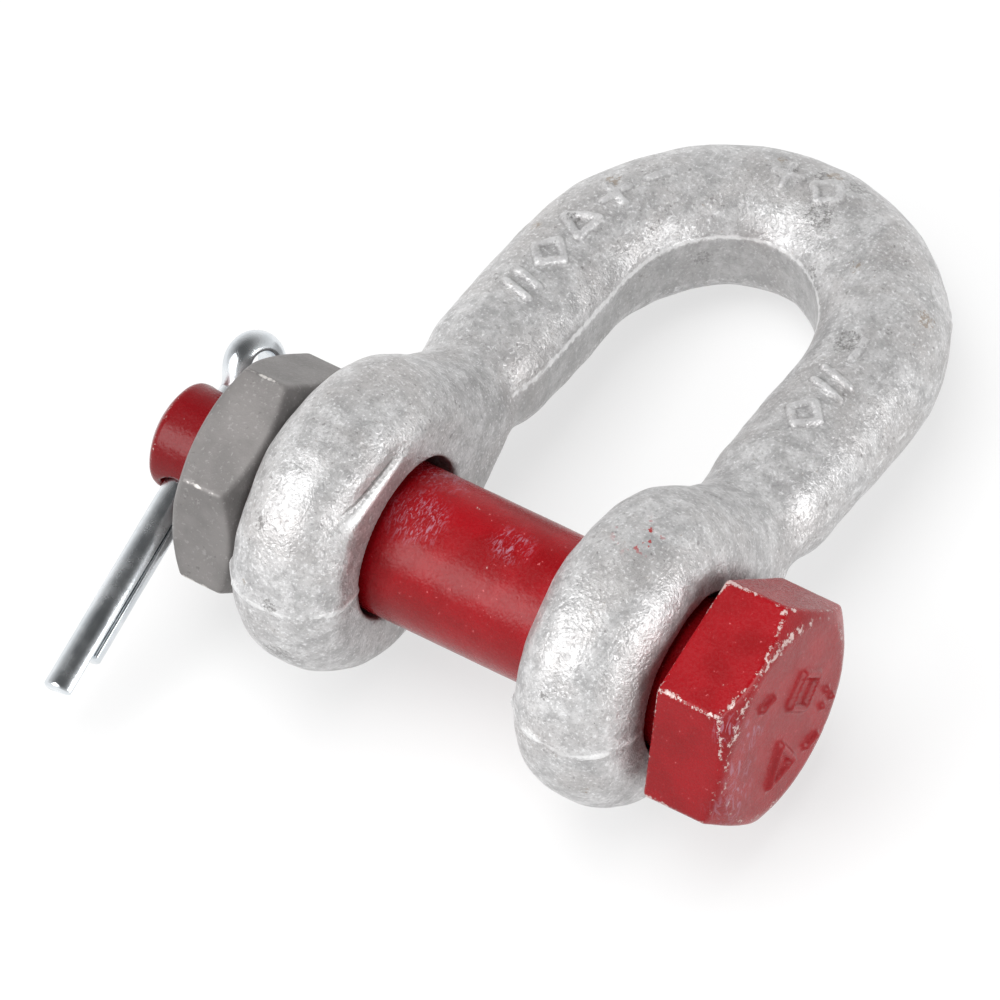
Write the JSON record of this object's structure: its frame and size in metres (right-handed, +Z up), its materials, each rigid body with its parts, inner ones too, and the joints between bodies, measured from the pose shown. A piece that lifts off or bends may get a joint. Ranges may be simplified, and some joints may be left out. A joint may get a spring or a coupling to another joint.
{
  "type": "bolt-type dee shackle",
  "caption": "U-shaped lifting shackle with two eyes joined by a hex-headed bolt, held by a thin nut and a cotter pin.",
  "frame": {"origin": "middle of the base of the box round the shackle, as it lies on its two eyes and its crown", "axes": "+X along the bolt towards its head, +Y level from the eyes towards the crown, +Z up"},
  "size_m": [0.0874, 0.1102, 0.039],
  "materials": {
    "galvanised": "hot-dip galvanised forging, pale grey with a fine grain",
    "red_paint": "semi-gloss red paint with a light orange-peel and chipped edges",
    "dull_steel": "dull warm grey, matt",
    "bright_zinc": "bright zinc plate, shiny"
  },
  "bodies": {
    "shackle_body": {"shackle_body": "galvanised"},
    "bolt": {"bolt": "red_paint"},
    "nut": {"nut": "dull_steel"},
    "cotter_pin": {"cotter_pin": "bright_zinc"}
  },
  "joints": [
    {"name": "bolt_spin", "type": "hinge", "parent": "shackle_body", "child": "bolt", "pos_m": [0.0035, -0.02068, 0.01891], "axis": [1, 0, 0], "continuous": true},
    {"name": "nut_turn", "type": "hinge", "parent": "bolt", "child": "nut", "pos_m": [-0.0341, -0.02068, 0.01891], "axis": [-1, 0, 0], "range_deg": [-65, 65]},
    {"name": "cotter_pull", "type": "slide", "parent": "bolt", "child": "cotter_pin", "axis": [0, 0.9654, 0.2608], "range_m": [0, 0.045]}
  ]
}
